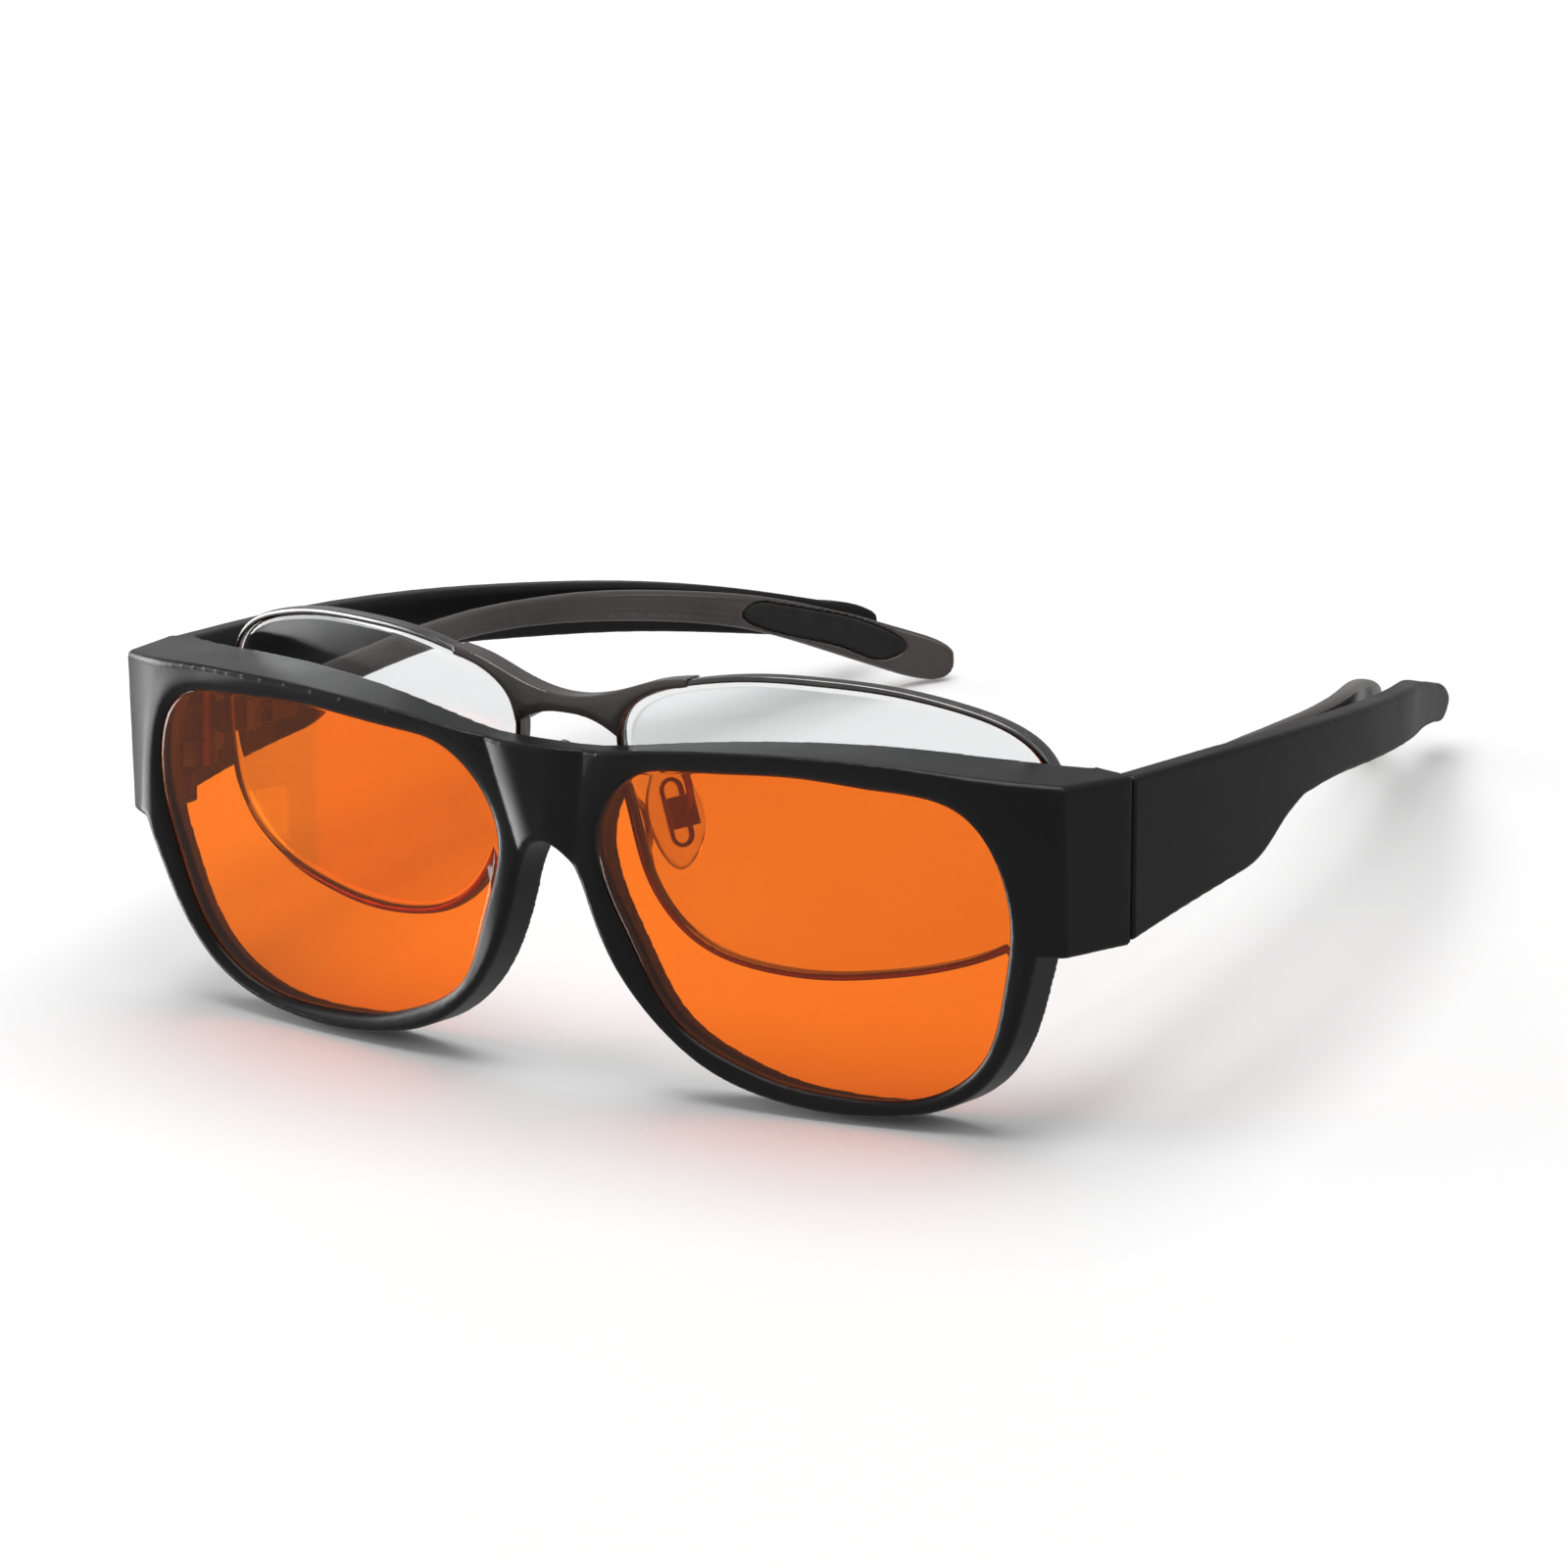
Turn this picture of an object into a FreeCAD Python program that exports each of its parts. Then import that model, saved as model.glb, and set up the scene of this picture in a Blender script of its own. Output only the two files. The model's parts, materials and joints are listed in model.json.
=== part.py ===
import FreeCAD, Part
import math
import os
from FreeCAD import Placement, Rotation, Vector

# Fit-over glasses worn over a pair of prescription spectacles.
# Modelled in the wearing attitude: +X is the wearer's left, +Y runs back along the temples, +Z is up,
# with Y = 0, Z = 0 at the front top edge of the fit-over's bridge. The last step pitches everything
# about X and lifts it, so that the rims and the temple tips stand on Z = 0 as on a table.

doc = FreeCAD.newDocument("fit_over_glasses")

SIZES = {
    # fit-over front
    "front_sag": 0.00121, "front_lean": 0.177, "wall": 3.0, "lip_depth": 6.5,
    "lens_inset": 1.4, "lens_thick": 1.8, "lens_lap": 1.0,
    "seam_back": 22.5, "endpiece_low": -19.9, "cavity_half": 69.8,
    # fit-over temple and hinge
    "temple_start": 22.7, "temple_thick": 3.4,
    "pin_side": 68.8, "pin_back": 22.6, "barrel_radius": 1.5, "barrel_top": -4.5, "barrel_low": -14.5,
    "screw_radius": 0.7, "screw_fit": 0.05,
    # spectacles front
    "rim_sag": 0.0033, "rim_lean": 0.054, "rim_back": 8.3, "rim_width": 0.9, "rim_depth": 2.4,
    "clear_inset": 0.5, "clear_thick": 1.4,
    # spectacles temple and hinge
    "arm_thick": 2.4, "inlay_deep": 0.8,
    "arm_pin_side": 63.8, "arm_pin_back": 27.2, "arm_barrel_radius": 1.15,
    "arm_barrel_top": -5.9, "arm_barrel_low": -9.9, "arm_screw_radius": 0.5,
    # nose pads
    "pad_high": 14.0, "pad_wide": 7.2, "pad_thick": 1.6, "wire_radius": 0.5,
    "plate_deep": 0.6, "clip_gap": 0.4, "clip_high": 1.7, "lug_pin": 0.3,
    # resting attitude on a table
    "rest_pitch": -10.8, "rest_shift_back": -68.9, "rest_shift_up": 46.26,
}


def make_sheet(sizes):
    """The driving dimensions: a name in column A and its number, under an alias, in column B."""
    made = doc.addObject("Spreadsheet::Sheet", "sizes")
    for row, (name, value) in enumerate(sizes.items(), start=1):
        made.set(f"A{row}", name)
        made.set(f"B{row}", str(value))
        made.setAlias(f"B{row}", name)
    doc.recompute()
    return made


sheet = make_sheet(SIZES)


def size(name):
    return float(getattr(sheet, name))


# ---------------------------------------------------------------- general tools

PLANES = {
    "plan": Rotation(),                             # sketch x, y are X, Y
    "face": Rotation(Vector(1, 0, 0), 90),          # sketch x, y are X, Z
    "side": Rotation(Vector(1, 1, 1), 120),         # sketch x, y are Y, Z
}
tool_count = 0


def tool_name(stem):
    global tool_count
    tool_count += 1
    return f"{stem}_{tool_count}"


def spline(points, closed=False):
    curve = Part.BSplineCurve()
    curve.interpolate([Vector(x, y, 0) for x, y in points], PeriodicFlag=closed)
    return curve


def sketch(stem, plane, runs, closed=False, at=0.0):
    """A sketch of runs of points: two points make a line, more make a smooth curve."""
    made = doc.addObject("Sketcher::SketchObject", tool_name(stem))
    turn = PLANES[plane]
    made.Placement = Placement(turn.multVec(Vector(0, 0, at)), turn)
    for run in runs:
        if len(run) == 2:
            start, end = [Vector(x, y, 0) for x, y in run]
            made.addGeometry(Part.LineSegment(start, end), False)
        else:
            made.addGeometry(spline(run, closed), False)
    return made


def prism(stem, profile, direction, ahead, behind):
    """The profile pushed along a direction, so far ahead and so far behind its plane."""
    made = doc.addObject("Part::Extrusion", tool_name(stem))
    made.Base = profile
    made.DirMode = "Custom"
    made.Dir = Vector(*direction)
    made.LengthFwd = ahead
    made.LengthRev = behind
    made.Solid = True
    return made


def cut(stem, base, tool):
    made = doc.addObject("Part::Cut", tool_name(stem))
    made.Base = base
    made.Tool = tool
    return made


def common(stem, *shapes):
    made = doc.addObject("Part::MultiCommon", tool_name(stem))
    made.Shapes = list(shapes)
    return made


def fuse(stem, *shapes):
    made = doc.addObject("Part::MultiFuse", tool_name(stem))
    made.Shapes = list(shapes)
    return made


def mirror(stem, source):
    """The same piece on the wearer's other side."""
    made = doc.addObject("Part::Mirroring", tool_name(stem))
    made.Source = source
    made.Normal = Vector(1, 0, 0)
    made.Base = Vector(0, 0, 0)
    return made


def box(stem, low, high):
    made = doc.addObject("Part::Box", tool_name(stem))
    made.Length, made.Width, made.Height = [b - a for a, b in zip(low, high)]
    made.Placement = Placement(Vector(*low), Rotation())
    return made


def cylinder(stem, radius, low, high, centre):
    """An upright cylinder; its radius is a number or an expression of the sheet."""
    made = doc.addObject("Part::Cylinder", tool_name(stem))
    if isinstance(radius, str):
        made.setExpression("Radius", radius)
    else:
        made.Radius = radius
    made.Height = high - low
    made.Placement = Placement(Vector(centre[0], centre[1], low), Rotation())
    return made


def both_ways(half):
    """A run of points from the wearer's right to left, from its left half, the middle last."""
    return [(-x, y) for x, y in half] + [(x, y) for x, y in reversed(half) if x > 0]


def grown(points, centre, by):
    """An outline moved outwards, away from a centre, by a distance."""
    moved = []
    for x, y in points:
        reach = math.hypot(x - centre[0], y - centre[1])
        scale = 1 + by / reach
        moved.append((centre[0] + (x - centre[0]) * scale, centre[1] + (y - centre[1]) * scale))
    return moved


def beside(points, by):
    """A run of points moved to its own left by a distance."""
    moved = []
    for i, (x, y) in enumerate(points):
        before = points[max(i - 1, 0)]
        after = points[min(i + 1, len(points) - 1)]
        along = math.hypot(after[0] - before[0], after[1] - before[1])
        moved.append((x - by * (after[1] - before[1]) / along, y + by * (after[0] - before[0]) / along))
    return moved


def bowed_slab(stem, sag, lean, start, near, far):
    """What lies between two depths behind a bowed, leaning face: Y = start + sag X^2 - lean Z."""
    half, low, high = 80.0, -60.0, 20.0
    rise = sag * half * half
    front = [(-half, start + near + rise), (0, start + near), (half, start + near + rise)]
    back = [(-half, start + far + rise), (0, start + far), (half, start + far + rise)]
    made = doc.addObject("Sketcher::SketchObject", tool_name(stem + "_plan"))
    for run in (front, back):
        made.addGeometry(Part.Arc(*[Vector(x, y, 0) for x, y in run]), False)
    for a, b in ((front[0], back[0]), (front[2], back[2])):
        made.addGeometry(Part.LineSegment(Vector(*a, 0), Vector(*b, 0)), False)
    stretch = math.hypot(1, lean)
    return prism(stem, made, (0, -lean, 1), high * stretch, -low * stretch)


def face_slab(near, far):
    return bowed_slab("face_slab", size("front_sag"), size("front_lean"), 0, near, far)


def rim_slab(near, far):
    return bowed_slab("rim_slab", size("rim_sag"), size("rim_lean"), size("rim_back"), near, far)


# ---------------------------------------------------------------- fit-over front

LENS_CENTRE = (39, -22)
OPENING = [
    (64.3, -25), (66.1, -13.8), (61.3, -2.7), (49.1, -0.5), (39, 0), (29, -1), (15.9, -1.9), (8.0, -12.2),
    (11.6, -25), (16.6, -34.3), (25, -39), (32.4, -41), (39, -41.5), (45.8, -41.4), (53.6, -39.6), (60.8, -34),
]
BROW = [(76, 1.4), (61, 2.8), (45, 3.1), (30, 2.4), (16, 1.0), (8, 0.1), (0, 0)]
LOWER_RIM = [
    (69.6, -19.9), (67.5, -26), (65, -32), (60.5, -38), (54, -41.8), (46, -43.6), (38, -44), (29, -43),
    (21, -40.3), (14, -35), (9, -28.2), (5.8, -20.5), (3.2, -14.8), (0, -12.9),
]
CAVITY_TOP = [(69.8, -0.9), (45, 0.6), (30, 0), (16, -1.5), (0, -2.6)]
SHELF_BACK = [(70, 21.5), (62, 17.3), (45, 13.4), (24, 8.6), (0, 4.6)]
CORNER = [(56, 3.6), (62, 4.9), (68, 7.6), (73, 10.9)]
CORNER_LEAN = 0.05


def opening_prism(by):
    """The wearer's left lens opening, grown by a distance, as a prism along Y."""
    outline = grown(OPENING, LENS_CENTRE, by)
    profile = sketch("opening_profile", "face", [outline], closed=True)
    return prism("opening", profile, (0, 1, 0), 60, 20)


def front_outline():
    brow = both_ways(BROW)
    rim = both_ways(LOWER_RIM)
    low = size("endpiece_low")
    sides = [
        [brow[-1], (76, low)], [(76, low), rim[-1]],
        [rim[0], (-76, low)], [(-76, low), brow[0]],
    ]
    profile = sketch("front_profile", "face", [brow, rim] + sides)
    return prism("front_outline", profile, (0, 1, 0), 40, 10)


def wrap_prism():
    """The plan of the front with its wrapped corners and flared endpieces."""
    corner = list(CORNER)
    seam = (75.6, size("seam_back"))
    right = [(-x, y) for x, y in reversed(corner)]
    runs = [
        corner, [corner[-1], seam], [seam, (75.6, 40)], [(75.6, 40), (-75.6, 40)],
        [(-75.6, 40), (-seam[0], seam[1])], [(-seam[0], seam[1]), right[0]], right,
        [right[-1], (-56, -15)], [(-56, -15), (56, -15)], [(56, -15), corner[0]],
    ]
    profile = sketch("wrap_profile", "plan", runs)
    return prism("wrap", profile, (0, -CORNER_LEAN, 1), 20, 60)


def depth_limit():
    """How far back the front reaches: the brow shelf and endpieces above, the lip below."""
    back = both_ways(SHELF_BACK)
    seam = size("seam_back")
    runs = [
        back, [back[-1], (70, seam)], [(70, seam), (80, seam)], [(80, seam), (80, -15)],
        [(80, -15), (-80, -15)], [(-80, -15), (-80, seam)], [(-80, seam), (-70, seam)], [(-70, seam), back[0]],
    ]
    profile = sketch("shelf_profile", "plan", runs)
    shelf = prism("shelf", profile, (0, 0, 1), 20, -size("endpiece_low"))
    lip = common("lip", face_slab(0, size("lip_depth")), box("below_brow", (-80, -20, -60), (80, 40, -6)))
    return fuse("depth_limit", shelf, lip)


def cavity():
    """The room behind the front for the spectacles, under the brow shelf, between the endpieces."""
    top = both_ways(CAVITY_TOP)
    half = size("cavity_half")
    runs = [top, [top[-1], (half, -60)], [(half, -60), (-half, -60)], [(-half, -60), top[0]]]
    profile = sketch("cavity_profile", "face", runs)
    return common("cavity", prism("cavity_way", profile, (0, 1, 0), 60, 20), face_slab(size("lip_depth"), 60))


def bridge_crease():
    """The shallow valley on the wearer's left of the keystone, as a wedge that narrows with the bridge."""
    sections = []
    for height, crease in ((4, 8.6), (-20, 3.0)):
        face = -size("front_lean") * height
        ends = [(crease, face + 0.9), (crease + 6, face - 0.1), (crease - 3.4, face - 0.1)]
        outer = [(ends[0], ends[1]), (ends[1], ends[2]), (ends[2], ends[0])]
        sections.append(sketch("crease_section", "plan", outer, at=height))
    made = doc.addObject("Part::Loft", tool_name("crease"))
    made.Sections = sections
    made.Solid = True
    made.Ruled = True
    return made


def hinge_pocket():
    """Room in the endpiece's inner wall for the hinge barrel and its leaf."""
    low = (68.0, 16.0, size("barrel_low") - 1.2)
    high = (size("pin_side") + 1.8, 24.0, size("barrel_top") + 1.6)
    return box("hinge_pocket", low, high)


def fit_over_front():
    body = common("front_block", front_outline(), wrap_prism(), depth_limit(), face_slab(0, 60))
    body = cut("front_hollow", body, cavity())
    left_cuts = fuse(
        "front_left_cuts",
        opening_prism(0),
        common("behind_opening", opening_prism(0.6), face_slab(size("wall"), 60)),
        common("lens_groove", opening_prism(size("lens_lap")), lens_slab()),
        hinge_pocket(),
        bridge_crease(),
    )
    body = cut("front_left_open", body, left_cuts)
    return cut("front_open", body, mirror("front_right_cuts", left_cuts))


def lens_slab():
    inset = size("lens_inset")
    return face_slab(inset, inset + size("lens_thick"))


def orange_lens():
    return common("lens", opening_prism(size("lens_lap")), lens_slab())


# ---------------------------------------------------------------- fit-over temples and hinges

TEMPLE_OUTER = [(75.6, 22.7), (75.8, 46), (73.9, 70), (69.0, 92.5), (63.2, 109), (56, 124), (48, 143.5)]
TEMPLE_TOP = [(22.7, 1.3), (46, 1.0), (71, -0.1), (93, -1.9), (109, -3.7), (123, -6.2), (135, -9.2)]
TEMPLE_TIP = [(135, -9.2), (140.5, -10.6), (143, -12.8), (140.5, -14.6), (135, -14.3)]
TEMPLE_LOW = [(135, -14.3), (124, -12.6), (107, -10.4), (87, -8.8), (72, -8.1), (64, -8.5)]
TEMPLE_STEP = [(64, -8.5), (60, -9.9), (56, -12.1), (52, -14.3), (46, -15.5)]
TEMPLE_DEEP = [(46, -15.5), (34, -17.3), (22.7, -19.4)]


def strip_plan(stem, outer, inner):
    """A plan strip between two runs of points, closed by straight ends, as an upright prism."""
    runs = [outer, inner, [outer[0], inner[0]], [outer[-1], inner[-1]]]
    return prism(stem, sketch(stem + "_plan", "plan", runs), (0, 0, 1), 30, 60)


TEMPLE_LEAF_PLATE = ((72.4, 23.4, -14.5), (73.4, 31.0, -4.5))


def fit_over_temple():
    inner = beside(TEMPLE_OUTER, size("temple_thick"))
    start = size("temple_start")
    inner[0] = (TEMPLE_OUTER[0][0] - size("temple_thick"), start)
    runs = [TEMPLE_TOP, TEMPLE_TIP, TEMPLE_LOW, TEMPLE_STEP, TEMPLE_DEEP, [TEMPLE_DEEP[-1], TEMPLE_TOP[0]]]
    profile = sketch("temple_profile", "side", runs)
    side = prism("temple_side", profile, (1, 0, 0), 90, 0)
    solid = common("temple", strip_plan("temple_strip", TEMPLE_OUTER, inner), side)
    low, high = TEMPLE_LEAF_PLATE
    plate = box("leaf_recess", (70, low[1], low[2]), high)
    web = box("leaf_web_way", (68, 23.35, -11.2), (72.6, 25.15, -7.8))
    return cut("temple_recessed", solid, fuse("leaf_seat", plate, web))


def barrel(top, low, centre, radius, bore):
    """One hinge knuckle with its screw hole."""
    solid = cylinder("knuckle", radius, low, top, centre)
    return cut("knuckle_bored", solid, cylinder("knuckle_bore", bore, low - 1, top + 1, centre))


def leaf(knuckles, plate, web, centre, radius, bore):
    """A hinge leaf: a plate, a web that joins it to its knuckles, and the screw hole through them."""
    pieces = [box("leaf_plate", *plate)]
    for low, high in knuckles:
        pieces.append(cylinder("knuckle", radius, low, high, centre))
        pieces.append(box("leaf_web", (web[0], web[1], low), (web[2], web[3], high)))
    solid = fuse("leaf_solid", *pieces)
    bottom = knuckles[0][0] - 5
    return cut("leaf", solid, cylinder("leaf_bore", bore, bottom, bottom + 30, centre))


def thirds(low, top, gap=0.1):
    """Three knuckles between two heights, with a small gap between them."""
    step = (top - low) / 3
    return [(low + step * i + gap / 2, low + step * (i + 1) - gap / 2) for i in range(3)]


def fit_over_hinge():
    """The front leaf, the temple leaf and the screw of the wearer's left hinge."""
    centre = (size("pin_side"), size("pin_back"))
    low, top = size("barrel_low"), size("barrel_top")
    knuckles = thirds(low, top)
    bore = "sizes.screw_radius + sizes.screw_fit"
    radius = "sizes.barrel_radius"
    wall = centre[0] + 1.8
    front_leaf = leaf(
        [knuckles[0], knuckles[2]], ((wall - 1.2, 16.4, low), (wall, 21.0, top)),
        (centre[0], 18.0, wall - 0.1, centre[1]), centre, radius, bore)
    plate_low = TEMPLE_LEAF_PLATE[0]
    web = (centre[0], plate_low[1], plate_low[0] + 0.2, 25.1)
    temple_leaf = leaf([knuckles[1]], TEMPLE_LEAF_PLATE, web, centre, radius, bore)
    return front_leaf, temple_leaf, screw(centre, low, top, "sizes.screw_radius", 1.15)


def screw(centre, low, top, radius, head_radius):
    """A slotted hinge screw, head up."""
    shank = cylinder("screw_shank", radius, low - 0.3, top + 0.1, centre)
    head = cylinder("screw_head", head_radius, top + 0.1, top + 0.7, centre)
    x, y = centre
    slot = box("screw_slot", (x - 0.15, y - 2, top + 0.4), (x + 0.15, y + 2, top + 1))
    return cut("screw", fuse("screw_solid", shank, head), slot)


# ---------------------------------------------------------------- spectacles front

RIM_CENTRE = (36, -8)
RIM = [
    (65.1, -8), (62.8, 3.1), (52.4, 8.4), (43.5, 10), (36, 10.4), (28.4, 10.3), (19, 9), (8.1, 3.6),
    (9.1, -8), (12.1, -17.9), (19, -25), (27.9, -27.5), (36, -27.8), (43.8, -26.9), (52.8, -24.8), (62.4, -18.9),
]
BRIDGE_TOP = [(18.2, 9.6), (13.7, 8.5), (9.3, 6.9), (5, 5.6), (0, 5.0)]
BRIDGE_LOW = [(8.0, 0.4), (5.6, 1.7), (3, 2.5), (0, 2.7)]
BRIDGE_SIDE = [(8.0, 0.4), (9.0, 3.4), (11.5, 5.8), (15, 7.4), (18.2, 8.3)]


RIM_SCREW_AT = (65.4, 24.9)


def rim_prism(by):
    """The wearer's left rim outline, grown by a distance, as a prism along Y."""
    outline = grown(RIM, RIM_CENTRE, by)
    profile = sketch("rim_profile", "face", [outline], closed=True)
    return prism("rim_outline", profile, (0, 1, 0), 60, 20)


def spectacle_rim():
    ring = cut("rim_ring", rim_prism(0), rim_prism(-size("rim_width")))
    low, top = size("arm_barrel_low"), size("arm_barrel_top")
    screw_room = cylinder("rim_screw_room", 0.8, low - 1, top + 1, RIM_SCREW_AT)
    return cut("rim_relieved", common("rim", ring, rim_slab(0, size("rim_depth"))), screw_room)


def clear_lens():
    inset = size("clear_inset")
    return common("clear", rim_prism(-size("rim_width")), rim_slab(inset, inset + size("clear_thick")))


def spectacle_bridge():
    """The saddle bridge, whose brow covers the front and the top of each rim as far as a small step."""
    left = list(BRIDGE_SIDE)
    right = [(-x, y) for x, y in left]
    top = both_ways(BRIDGE_TOP)
    runs = [top, both_ways(BRIDGE_LOW), left, right, [top[-1], left[-1]], [top[0], right[-1]]]
    block = prism("bridge_block", sketch("bridge_profile", "face", runs), (0, 1, 0), 30, 20)
    body = common("bridge_body", block, rim_slab(-0.7, 3.2))
    seat = common("bridge_seat", rim_prism(0), rim_slab(0, 60))
    body = cut("bridge_left", body, seat)
    return cut("bridge", body, mirror("bridge_right_seat", seat))


# ---------------------------------------------------------------- spectacles endpieces, hinges and temples

ARM_OUTER = [(65.2, 28.5), (65.5, 50), (65.2, 76), (60.8, 96), (53.2, 113), (45.6, 129.5), (34.0, 144.5)]
ARM_TOP = [(28.5, -5.3), (50, -3.5), (70, -2.3), (85, -2.3), (97, -2.8), (110, -4.3), (121, -6.4), (132, -9.8)]
ARM_TIP = [(132, -9.8), (139, -12.8), (143.4, -16.6), (142.4, -19.4), (138, -18.9)]
ARM_LOW = [(138, -18.9), (129, -14.8), (118, -10.6), (108, -8.4), (97, -7.0), (81, -5.9), (66, -6.0), (50, -7.2), (28.5, -9.9)]
INLAY = [
    (114.5, -6.9), (118, -6.8), (128, -9.5), (135.5, -12.9), (138.6, -15.2), (137, -16.5), (128, -12.9),
    (118, -9.1), (114.8, -8.4),
]


def arm_strip(near, far):
    """An upright strip that follows the spectacles' temple, between two distances inside its outer face."""
    outer = beside(ARM_OUTER, near)
    inner = beside(ARM_OUTER, far)
    return strip_plan("arm_strip", outer, inner)


ARM_WEB_WAY = ((61.0, 27.0, -8.7), (63.45, 29.45, -7.1))
ARM_LEAF_SEAT = ((61.0, 28.95, -9.35), (62.8, 34.05, -6.25))


def spectacle_temple():
    runs = [ARM_TOP, ARM_TIP, ARM_LOW, [ARM_LOW[-1], ARM_TOP[0]]]
    side = prism("arm_side", sketch("arm_profile", "side", runs), (1, 0, 0), 90, 0)
    solid = common("arm", arm_strip(0, size("arm_thick")), side)
    web_way, leaf_seat = box("arm_web_way", *ARM_WEB_WAY), box("arm_leaf_seat", *ARM_LEAF_SEAT)
    seats = fuse("arm_seats", inlay_prism(0.1), web_way, leaf_seat)
    return cut("arm_recessed", solid, seats)


def arm_inlay():
    return inlay_prism(0)


def inlay_prism(beyond):
    """The rubber inlay's outline, let into the inner face of the temple's end."""
    side = prism("inlay_side", sketch("inlay_profile", "side", [INLAY], closed=True), (1, 0, 0), 90, 0)
    thick = size("arm_thick")
    return common("inlay", arm_strip(thick - size("inlay_deep"), thick + beyond), side)


def spectacle_endpiece():
    """The block that closes the rim and turns back to carry the hinge's two outer knuckles."""
    x, y = size("arm_pin_side"), size("arm_pin_back")
    low, top = size("arm_barrel_low"), size("arm_barrel_top")
    knuckles = thirds(low, top)
    cheek = box("endpiece_cheek", (65.1, 21.6, low), (66.3, 25.8, top))
    body = leaf(
        [knuckles[0], knuckles[2]], ((62.4, 24.3, low), (66.3, 25.8, top)), (x - 0.9, 25.7, x + 0.9, y),
        (x, y), "sizes.arm_barrel_radius", "sizes.arm_screw_radius + sizes.screw_fit")
    rim_room = common("endpiece_rim_room", rim_prism(0), rim_slab(-1, size("rim_depth")))
    screw_hole = cylinder("rim_screw_hole", 0.5, low - 1, top + 1, RIM_SCREW_AT)
    solid = cut("endpiece_clear", fuse("endpiece_solid", body, cheek), rim_room)
    return cut("endpiece", solid, screw_hole)


def arm_hinge():
    """The temple leaf and the screw of the spectacles' left hinge."""
    centre = (size("arm_pin_side"), size("arm_pin_back"))
    low, top = size("arm_barrel_low"), size("arm_barrel_top")
    middle = thirds(low, top)[1]
    inner = ARM_OUTER[0][0] - size("arm_thick")
    moving_leaf = leaf(
        [middle], ((inner - 0.8, 29.0, low + 0.6), (inner, 34.0, top - 0.4)),
        (centre[0] - 1.1, centre[1], centre[0] - 0.4, 29.4), centre,
        "sizes.arm_barrel_radius", "sizes.arm_screw_radius + sizes.screw_fit")
    return moving_leaf, screw(centre, low, top, "sizes.arm_screw_radius", 0.85)


def rim_screw():
    """The small screw that draws the rim closed, upright through the endpiece."""
    low, top = size("arm_barrel_low"), size("arm_barrel_top")
    return screw(RIM_SCREW_AT, low, top - 0.1, 0.45, 0.75)


# ---------------------------------------------------------------- nose pads

PAD_CENTRE = Vector(10.6, 18.4, -10.2)
PAD_SPLAY = 28.0     # how far the pad's width turns out from straight back, in degrees
PAD_SPREAD = 17.0    # how far the pad's length leans out towards its foot, in degrees
PLATE_HALF = (1.6, 4.5)


def pad_placement():
    """Pad axes on the wearer's left: x along its width, y up its length, z away from the nose."""
    spread, splay = math.radians(PAD_SPREAD), math.radians(PAD_SPLAY)
    up = Vector(-math.sin(spread), 0, math.cos(spread))
    back = Vector(math.sin(splay), math.cos(splay), 0)
    back = (back - up * back.dot(up)).normalize()
    return Placement(PAD_CENTRE, Rotation(back, up, back.cross(up), "XYZ"))


def pad_outline():
    """A drop, widest below its middle."""
    high, wide = size("pad_high") / 2, size("pad_wide") / 2
    right = [(wide, -high * 0.3), (wide * 0.7, high * 0.62)]
    left = [(-x, y) for x, y in reversed(right)]
    return [(0, -high)] + right + [(0, high)] + left


def body_sketch(body, name):
    """A sketch on the body's own XY plane."""
    plane = next(o for o in body.Origin.OriginFeatures if o.Role == "XY_Plane")
    made = body.newObject("Sketcher::SketchObject", name)
    made.AttachmentSupport = [(plane, "")]
    made.MapMode = "FlatFace"
    return made


def add_slot(target, half_wide, half_high):
    """Adds an oblong with round ends, upright, to a sketch."""
    straight = half_high - half_wide
    for sign in (-1, 1):
        x, y = sign * half_wide, sign * straight
        target.addGeometry(Part.LineSegment(Vector(x, -straight, 0), Vector(x, straight, 0)), False)
        ends = [Vector(-half_wide, y, 0), Vector(0, sign * half_high, 0), Vector(half_wide, y, 0)]
        target.addGeometry(Part.Arc(*ends), False)


def nose_pad():
    """The clear silicone drop, rounded at its rims, with a pocket in its outer face for the plate."""
    body = doc.addObject("PartDesign::Body", "pad_body")
    outline = body_sketch(body, "pad_outline")
    outline.addGeometry(spline(pad_outline(), True), False)
    pad = body.newObject("PartDesign::Pad", "pad_drop")
    pad.Profile = outline
    pad.setExpression("Length", "sizes.pad_thick")
    pad.Reversed = True
    doc.recompute()
    rims = [f"Edge{i}" for i, edge in enumerate(pad.Shape.Edges, start=1) if edge.Length > 10]
    rounded = body.newObject("PartDesign::Fillet", "pad_round")
    rounded.Base = (pad, rims)
    rounded.Radius = 0.6
    doc.recompute()
    pocket_sketch = body_sketch(body, "pad_plate_outline")
    add_slot(pocket_sketch, *PLATE_HALF)
    pocket = body.newObject("PartDesign::Pocket", "pad_plate_pocket")
    pocket.Profile = pocket_sketch
    pocket.setExpression("Length", "sizes.plate_deep")
    doc.recompute()
    if pocket.Shape.Volume > rounded.Shape.Volume - 5:
        raise RuntimeError("the pad's plate pocket cut nothing")
    body.Tip = pocket
    return body


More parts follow.
